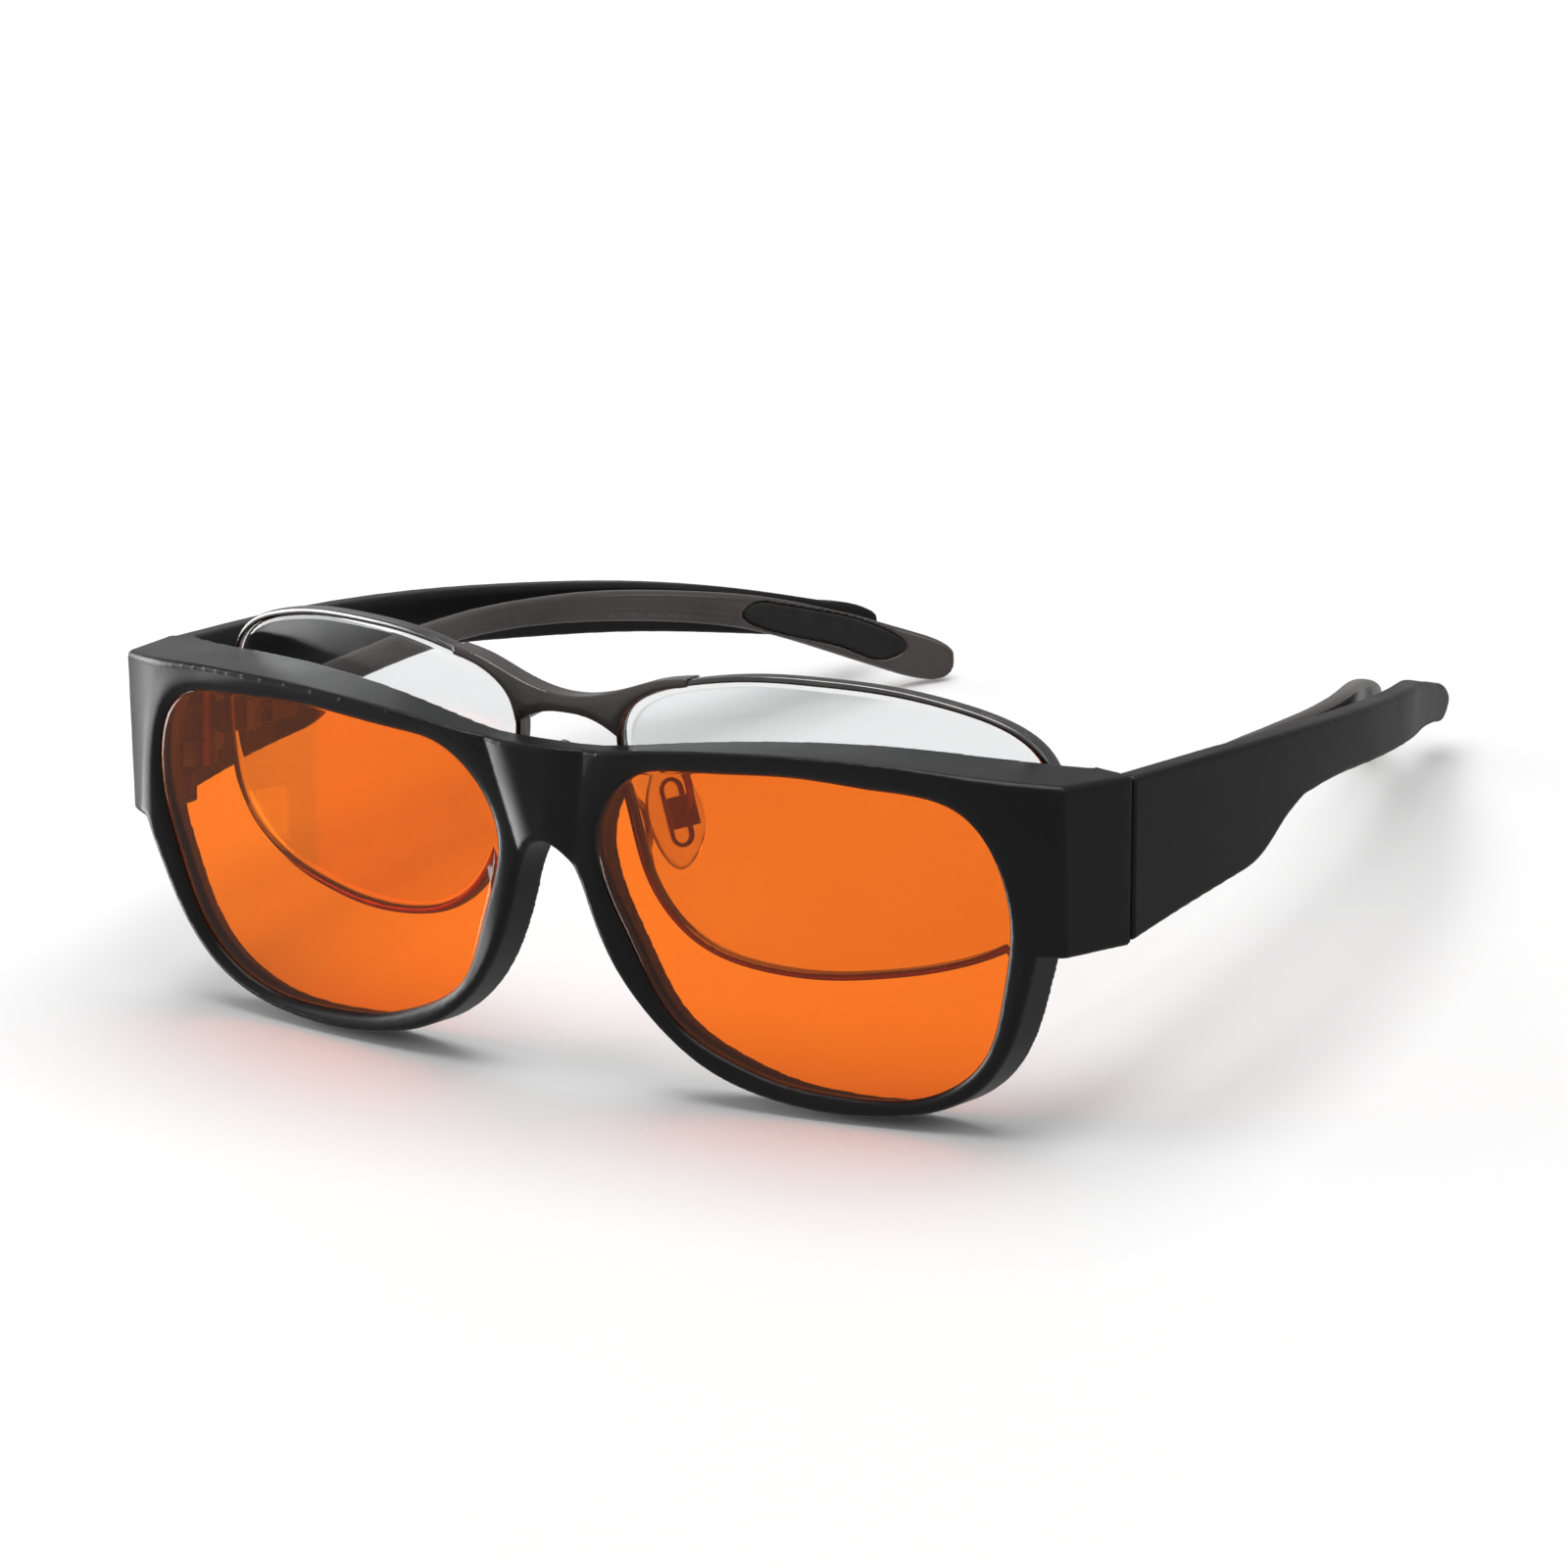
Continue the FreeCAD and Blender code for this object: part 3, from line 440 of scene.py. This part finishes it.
def make_lenses(materials):
    """Two orange lenses that lap past the edges of the front's openings, and two clear ones held by the rims."""
    for side, sign in SIDES.items():
        edge = grown(smooth_curve(OPENING, closed=True), LENS_CENTRE, LENS_LAP)
        points, faces = sheet(edge, LENS_CENTRE, lens_face, LENS_INSET, LENS_INSET + LENS_THICK)
        mesh_piece("tinted_sheet_" + side, points, faces, materials["orange_lens"], "fit_over",
                   "orange_lens_" + side, mirrored=sign < 0)
        edge = grown(smooth_curve(RIM, closed=True), RIM_CENTRE, CLEAR_LAP - RIM_WIDTH)
        points, faces = sheet(edge, RIM_CENTRE, rim_face, CLEAR_INSET, CLEAR_INSET + CLEAR_THICK)
        mesh_piece("clear_sheet_" + side, points, faces, materials["clear_lens"], "spectacles",
                   "clear_lens_" + side, mirrored=sign < 0)


def rim_section():
    """The rim's section as (inwards, back) pairs: rounded corners and a raised band round its outside."""
    w, d, r = RIM_WIDTH, RIM_DEPTH, RIM_ROUND
    out = []
    for cx, cy, start in ((r, d - r, 90), (r, r, 180), (w - r, r, 270), (w - r, d - r, 0)):
        for turn in (0, 30, 60, 90):
            angle = math.radians(start + turn)
            out.append((cx + r * math.cos(angle), cy + r * math.sin(angle)))
    out[4:4] = RIM_BAND
    return out


def make_rims(material):
    """The rims: their section carried round the rim's outline."""
    edge = smooth_curve(RIM, closed=True)
    way = np.array(RIM_CENTRE) - edge
    way /= np.linalg.norm(way, axis=1, keepdims=True)
    section = rim_section()
    rings = []
    for inward, back in section:
        ring = edge + way * inward
        rings.append(np.stack([ring[:, 0], rim_face(ring[:, 0], ring[:, 1]) + back, ring[:, 1]], axis=1))
    points = np.vstack(rings)
    faces = outward(points, ring_faces(len(section), len(edge), closed=True))
    for side, sign in SIDES.items():
        mesh_piece("rim_wire_" + side, points, faces, material, "spectacles",
                   "spectacle_rim_" + side, mirrored=sign < 0)


def bridge_field(x, y, z):
    """The saddle bridge, with a chamfer along its edges that leaves a ridge line on its face."""
    flat_x, flat_z = x[:, :, 0], z[0]
    side = smooth_curve(BRIDGE_SIDE)
    other = side * (-1, 1)
    top = smooth_curve(both_ways(BRIDGE_TOP))
    low = smooth_curve(both_ways(BRIDGE_LOW))
    shape = np.vstack([top, side[::-1], low[::-1], other])
    plan = run_distance(shape, flat_x, flat_z, closed=True)[:, None, :]
    depth = y - rim_face(x, z)
    chamfer = CHAMFER_DEEP * np.clip(1 + plan / CHAMFER_WIDE, 0, 1)
    body = both(plan, np.abs(depth - BRIDGE_MIDDLE) - BRIDGE_HALF_DEEP + chamfer, BRIDGE_ROUND)
    rim = run_distance(smooth_curve(RIM, closed=True), np.abs(flat_x), flat_z, closed=True)
    return np.maximum(body, -np.maximum(rim[:, None, :], -depth))


def make_bridge(material):
    """The spectacles' bridge, from its field."""
    x, y, z = grid(*BRIDGE_BOX, BRIDGE_STEP)
    low = np.array([x.min(), y.min(), z.min()])
    points, quads = net(bridge_field(x, y, z), low, BRIDGE_STEP)
    points = relax(points, quads, 2)
    mesh_piece("saddle_bridge", points, quads, material, "spectacles", "spectacle_bridge")


def temple_field(x, y, z):
    """The fit-over's temple, with a sharp end at the seam and a recess for its hinge leaf."""
    outer = smooth_curve(TEMPLE_OUTER)
    inner = beside(outer, TEMPLE_THICK)
    ahead = np.array([[0, -PAST_SEAM]])
    strip = np.vstack([outer[:1] + ahead, outer, inner[::-1], inner[:1] + ahead])
    plan = run_distance(strip, x[:, :, 0], y[:, :, 0], closed=True)[:, :, None]
    top, low = TEMPLE_SIDE[0][0], TEMPLE_SIDE[-1][-1]
    past_low, past_top = (low[0] - PAST_SEAM, low[1]), (top[0] - PAST_SEAM, top[1])
    runs = [*TEMPLE_SIDE, [low, past_low], [past_low, past_top]]
    side = run_distance(outline(runs), y[0], z[0], closed=True)[None]
    body = both(both(plan, side, TEMPLE_ROUND), top[0] - y, SEAM_ROUND)
    return np.maximum(body, -box_field(x, y, z, *LEAF_RECESS))


def arm_field(x, y, z):
    """The spectacles' temple, with the grip's seat and a shallow panel in its inner face."""
    outer = smooth_curve(ARM_OUTER)
    strip = np.vstack([outer, beside(outer, ARM_THICK)[::-1]])
    flat_x, flat_y = x[:, :, 0], y[:, :, 0]
    plan = run_distance(strip, flat_x, flat_y, closed=True)[:, :, None]
    side = run_distance(outline(ARM_SIDE), y[0], z[0], closed=True)[None]
    body = both(plan, side, ARM_ROUND)
    deep = run_distance(outer, flat_x, flat_y)[:, :, None]
    inlay = run_distance(smooth_curve(INLAY, closed=True), y[0], z[0], closed=True)[None]
    body = np.maximum(body, -np.maximum(inlay - INLAY_GAP, ARM_THICK - INLAY_DEEP - deep))
    shape = np.vstack([smooth_curve(PANEL_TOP), smooth_curve(PANEL_LOW)])
    panel = run_distance(shape, y[0], z[0], closed=True)[None]
    sunk = PANEL_DEEP * np.clip(0.5 - panel / PANEL_SLOPE, 0, 1)
    return np.maximum(body, deep - ARM_THICK + sunk)


def inlay_field(x, y, z):
    """The soft grip in the inner face of the spectacles' temple."""
    outer = smooth_curve(ARM_OUTER)
    floor = beside(outer, ARM_THICK - INLAY_DEEP + INLAY_LIFT)
    strip = np.vstack([floor, beside(outer, ARM_THICK)[::-1]])
    plan = run_distance(strip, x[:, :, 0], y[:, :, 0], closed=True)[:, :, None]
    side = run_distance(smooth_curve(INLAY, closed=True), y[0], z[0], closed=True)[None]
    return both(plan, side, INLAY_ROUND)


def make_strip(stem, field, box, step, material, owner, replaced):
    """A piece of each side's arm: its field's surface in a box, and that surface's mirror image."""
    low, high = box
    x, y, z = grid(low, high, step)
    points, quads = net(field(x, y, z), np.array(low, float), step)
    points = relax(points, quads, 2)
    for side, sign in SIDES.items():
        mesh_piece(stem + side, points, quads, material, owner % side, replaced + side,
                   mirrored=sign < 0)


def make_strips(materials):
    """Both pairs' temples, and the soft grips."""
    make_strip("shield_temple_", temple_field, ((44, 21, -21), (78, 146, 4)), 0.4,
               materials["fit_over_plastic"], "fit_over_%s_arm", "fit_over_temple_")
    make_strip("slim_arm_", arm_field, ((29, 27, -21.5), (67.5, 147, 0)), 0.35,
               materials["smoke_plastic"], "spectacles_%s_arm", "spectacle_temple_")
    make_strip("grip_", inlay_field, ((29, 112, -19), (58, 142, -5)), 0.25,
               materials["tip_rubber"], "spectacles_%s_arm", "temple_tip_inlay_")


# ---------------------------------------------------------------- materials

def new_material(name, color, rough, metal=0.0, clear=0.0, ior=1.5, shine=0.5):
    """A Principled material; clear is how much light it lets through, shine its specular level."""
    made = bpy.data.materials.new(name)
    made.use_nodes = True
    shader = made.node_tree.nodes["Principled BSDF"]
    shader.inputs["Base Color"].default_value = (*color, 1)
    shader.inputs["Roughness"].default_value = rough
    shader.inputs["Metallic"].default_value = metal
    shader.inputs["Transmission Weight"].default_value = clear
    shader.inputs["IOR"].default_value = ior
    shader.inputs["Specular IOR Level"].default_value = shine
    return made


def node(made, kind, **values):
    """A new shader node with some of its inputs set."""
    new = made.node_tree.nodes.new(kind)
    for name, value in values.items():
        new.inputs[name].default_value = value
    return new


def link(made, source, target):
    """Joins one node's output to another's input."""
    made.node_tree.links.new(source, target)


def mottle_color(made, one, two, scale, detail=4.0):
    """Lets the base colour drift between two colours."""
    noise = node(made, "ShaderNodeTexNoise", Scale=scale, Detail=detail)
    ramp = node(made, "ShaderNodeValToRGB")
    ramp.color_ramp.elements[0].position = 0.3
    ramp.color_ramp.elements[0].color = (*one, 1)
    ramp.color_ramp.elements[1].position = 0.7
    ramp.color_ramp.elements[1].color = (*two, 1)
    place = node(made, "ShaderNodeTexCoord")
    link(made, place.outputs["Object"], noise.inputs["Vector"])
    link(made, noise.outputs["Fac"], ramp.inputs["Fac"])
    link(made, ramp.outputs["Color"], made.node_tree.nodes["Principled BSDF"].inputs["Base Color"])


def wear(made, low, high, scale):
    """Lets the roughness drift between two values."""
    noise = node(made, "ShaderNodeTexNoise", Scale=scale, Detail=5.0)
    spread = node(made, "ShaderNodeMapRange")
    spread.inputs["From Min"].default_value = 0.3
    spread.inputs["From Max"].default_value = 0.7
    spread.inputs["To Min"].default_value = low
    spread.inputs["To Max"].default_value = high
    place = node(made, "ShaderNodeTexCoord")
    link(made, place.outputs["Object"], noise.inputs["Vector"])
    link(made, noise.outputs["Fac"], spread.inputs["Value"])
    link(made, spread.outputs["Result"], made.node_tree.nodes["Principled BSDF"].inputs["Roughness"])


def grain(made, scale, strength, distance=0.00002):
    """A fine bump."""
    noise = node(made, "ShaderNodeTexNoise", Scale=scale, Detail=3.0)
    bump = node(made, "ShaderNodeBump", Strength=strength, Distance=distance)
    place = node(made, "ShaderNodeTexCoord")
    link(made, place.outputs["Object"], noise.inputs["Vector"])
    link(made, noise.outputs["Fac"], bump.inputs["Height"])
    link(made, bump.outputs["Normal"], made.node_tree.nodes["Principled BSDF"].inputs["Normal"])


def let_light_through(made, color):
    """Lamps shine through the piece with its tint, instead of leaving a solid shadow."""
    tree = made.node_tree
    passing = node(made, "ShaderNodeBsdfTransparent", Color=(*color, 1))
    path = node(made, "ShaderNodeLightPath")
    mix = node(made, "ShaderNodeMixShader")
    link(made, path.outputs["Is Shadow Ray"], mix.inputs[0])
    link(made, tree.nodes["Principled BSDF"].outputs[0], mix.inputs[1])
    link(made, passing.outputs[0], mix.inputs[2])
    link(made, mix.outputs[0], tree.nodes["Material Output"].inputs["Surface"])


def make_lens_materials():
    """Clear orange and clear colourless plastic."""
    orange = new_material("orange_tint", (1.0, 0.19, 0.008), 0.02, clear=1.0, shine=0.2)
    mottle_color(orange, (1.0, 0.183, 0.007), (1.0, 0.197, 0.009), 30, 2.0)
    let_light_through(orange, (1.0, 0.35, 0.08))
    clear = new_material("clear_tint", (0.93, 0.945, 0.95), 0.02, clear=1.0)
    mottle_color(clear, (0.86, 0.87, 0.875), (0.88, 0.89, 0.895), 30, 2.0)
    let_light_through(clear, (0.93, 0.94, 0.95))
    return {"orange_lens": orange, "clear_lens": clear}


def make_metals():
    """Gunmetal rims, satin hinge leaves, bright screws and dark pad plates."""
    made = {}
    for name, one, two, low, high in (
        ("rim_metal", (0.17, 0.165, 0.165), (0.24, 0.235, 0.235), 0.18, 0.28),
        ("hinge_metal", (0.14, 0.14, 0.15), (0.20, 0.20, 0.21), 0.28, 0.42),
        ("screw_metal", (0.34, 0.34, 0.35), (0.44, 0.44, 0.45), 0.22, 0.36),
        ("pad_metal", (0.025, 0.025, 0.027), (0.045, 0.045, 0.047), 0.25, 0.40),
    ):
        metal = new_material(name + "_look", one, low, metal=1.0)
        mottle_color(metal, one, two, 260)
        wear(metal, low, high, 500)
        grain(metal, 9000, 0.12)
        made[name] = metal
    return made


def make_hard_plastics():
    """The fit-over's satin black and the spectacles' glossy smoke."""
    black = new_material("satin_black", (0.008, 0.008, 0.0083), 0.35, shine=0.28)
    mottle_color(black, (0.0065, 0.0065, 0.0068), (0.0085, 0.0083, 0.0085), 120)
    wear(black, 0.28, 0.36, 90)
    grain(black, 5200, 0.25)
    smoke = new_material("smoke_plastic_look", (0.10, 0.09, 0.085), 0.12, clear=0.3, ior=1.49, shine=0.7)
    mottle_color(smoke, (0.06, 0.053, 0.049), (0.105, 0.093, 0.087), 60)
    wear(smoke, 0.08, 0.13, 200)
    let_light_through(smoke, (0.35, 0.32, 0.30))
    return {"fit_over_plastic": black, "smoke_plastic": smoke}


def make_soft_materials():
    """The temples' black rubber and the nose pads' clear silicone."""
    rubber = new_material("tip_rubber_look", (0.012, 0.012, 0.012), 0.8)
    mottle_color(rubber, (0.010, 0.010, 0.010), (0.016, 0.016, 0.016), 300)
    wear(rubber, 0.72, 0.9, 400)
    grain(rubber, 7000, 0.5, 0.00004)
    pad = new_material("pad_silicone_look", (0.88, 0.88, 0.86), 0.12, clear=0.96)
    mottle_color(pad, (0.84, 0.84, 0.82), (0.91, 0.91, 0.89), 200)
    wear(pad, 0.1, 0.2, 600)
    let_light_through(pad, (0.9, 0.9, 0.88))
    return {"tip_rubber": rubber, "pad_silicone": pad}


def make_materials():
    """Every material, by the record's slot that it belongs to."""
    made = make_lens_materials()
    made.update(make_metals())
    made.update(make_hard_plastics())
    made.update(make_soft_materials())
    return made


def paint_cad_nodes(materials):
    """Gives every CAD node its own slot's material; those that a piece stands for are hidden."""
    for part in frame["record"]["subparts"]:
        piece = frame["nodes"][part["node"]]
        material = materials[part["material_slot"]]
        if not piece.material_slots:
            piece.data.materials.append(material)
        for slot in piece.material_slots:
            slot.material = material


# ---------------------------------------------------------------- stage, light and camera

CAMERA_AZIMUTH, CAMERA_RISE = 35.14, 12.38  # degrees, in the wearing frame
CAMERA_TARGET = np.array([2.99, 51.4, -13.87])
CAMERA_AWAY, CAMERA_LENS = 1177.04, 208.82


def make_stage():
    """A plain pale floor that reflections don't show, and an even pale surround."""
    bpy.ops.mesh.primitive_plane_add(size=6)
    floor = bpy.context.object
    floor.name = "floor"
    paint = new_material("floor_paint", (0.86, 0.86, 0.86), 0.6)
    floor.data.materials.append(paint)
    floor.visible_glossy = False
    world = bpy.data.worlds.new("studio")
    world.use_nodes = True
    world.node_tree.nodes["Background"].inputs["Color"].default_value = (1, 1, 1, 1)
    world.node_tree.nodes["Background"].inputs["Strength"].default_value = 0.28
    bpy.context.scene.world = world


def area_light(name, at, size, power):
    """A soft box that faces the glasses and isn't seen by the camera itself."""
    light = bpy.data.lights.new(name, "AREA")
    light.energy = power
    light.shape = "RECTANGLE"
    light.size, light.size_y = size
    lamp = bpy.data.objects.new(name, light)
    lamp.location = at
    lamp.rotation_euler = (Vector((0, 0, 0.02)) - Vector(at)).to_track_quat("-Z", "Y").to_euler()
    lamp.visible_camera = False
    bpy.context.scene.collection.objects.link(lamp)


def glow_cards(name, cards, strength):
    """Bright flat cards (centre, half width, half height) that only reflections show, like a studio's."""
    corners, faces = [], []
    for centre, across, up in cards:
        for a, b in ((-1, -1), (1, -1), (1, 1), (-1, 1)):
            corners.append([c + a * u + b * v for c, u, v in zip(centre, across, up)])
        faces.append(list(range(len(corners) - 4, len(corners))))
    mesh = bpy.data.meshes.new(name)
    mesh.from_pydata(corners, [], faces)
    glow = new_material(name + "_glow", (0, 0, 0), 1.0)
    shader = glow.node_tree.nodes["Principled BSDF"]
    shader.inputs["Emission Color"].default_value = (1, 1, 1, 1)
    shader.inputs["Emission Strength"].default_value = strength
    mesh.materials.append(glow)
    card = bpy.data.objects.new(name, mesh)
    for ray in ("camera", "diffuse", "transmission", "shadow"):
        setattr(card, "visible_" + ray, False)
    bpy.context.scene.collection.objects.link(card)


def make_cards():
    """A window's four panes for the lenses, and long cards for the wrapped corner and the slim arms."""
    panes = []
    for column in (-1, 1):
        for row in (-1, 1):
            x = -0.18 + 0.0085 * column - 0.002 * row
            y = -0.29 - 0.005 * column
            z = -0.088 + 0.0062 * row
            panes.append(((x, y, z), (0.0065, -0.004, 0.0), (-0.0014, 0.0, 0.0048)))
    glow_cards("window_panes", panes, 6.0)
    glow_cards("side_card", [((-0.92, -0.22, -0.31), (0.09, -0.3, 0.0), (0.0, 0.0, 0.12))], 8.0)
    glow_cards("arm_card", [((0.38, 0.22, -0.13), (-0.16, 0.34, 0.0), (0.0, 0.0, 0.07))], 0.35)


def make_lights():
    """A broad box overhead, a strong one low on the left, and two faint ones."""
    area_light("top_box", (0.0, 0.15, 1.1), (1.1, 1.1), 11.5)
    area_light("left_box", (-1.05, -0.2, 0.14), (0.9, 0.5), 9.0)
    area_light("back_left_box", (-0.95, 0.75, 0.35), (0.5, 0.7), 0.3)
    area_light("right_box", (1.0, 0.2, 0.7), (0.6, 0.6), 1.2)


def make_camera():
    """The camera that fits both sides of the front, both temples and the rims in the photo."""
    azimuth, rise = math.radians(CAMERA_AZIMUTH), math.radians(CAMERA_RISE)
    flat = math.cos(rise)
    back = np.array([math.sin(azimuth) * flat, -math.cos(azimuth) * flat, math.sin(rise)])
    right = np.cross(-back, (0, 0, 1))
    right /= np.linalg.norm(right)
    up = np.cross(right, -back)
    turned = [TURN @ v for v in (right, up, back)]
    place = to_row(CAMERA_TARGET + back * CAMERA_AWAY)
    lens = bpy.data.cameras.new("photo_camera")
    lens.lens = CAMERA_LENS
    lens.sensor_width = 36
    lens.clip_end = 20
    camera = bpy.data.objects.new("photo_camera", lens)
    rows = [[*(v[i] for v in turned), place[i]] for i in range(3)]
    camera.matrix_world = Matrix(rows + [[0, 0, 0, 1]])
    bpy.context.scene.collection.objects.link(camera)
    bpy.context.scene.camera = camera


# ---------------------------------------------------------------- everything together


materials = make_materials()
make_front(materials["fit_over_plastic"])
make_lenses(materials)
make_rims(materials["rim_metal"])
make_bridge(materials["smoke_plastic"])
make_strips(materials)
paint_cad_nodes(materials)
make_stage()
make_lights()
make_cards()
make_camera()
bpy.context.scene.view_settings.view_transform = "Standard"
bpy.context.scene.view_settings.exposure = 0.15
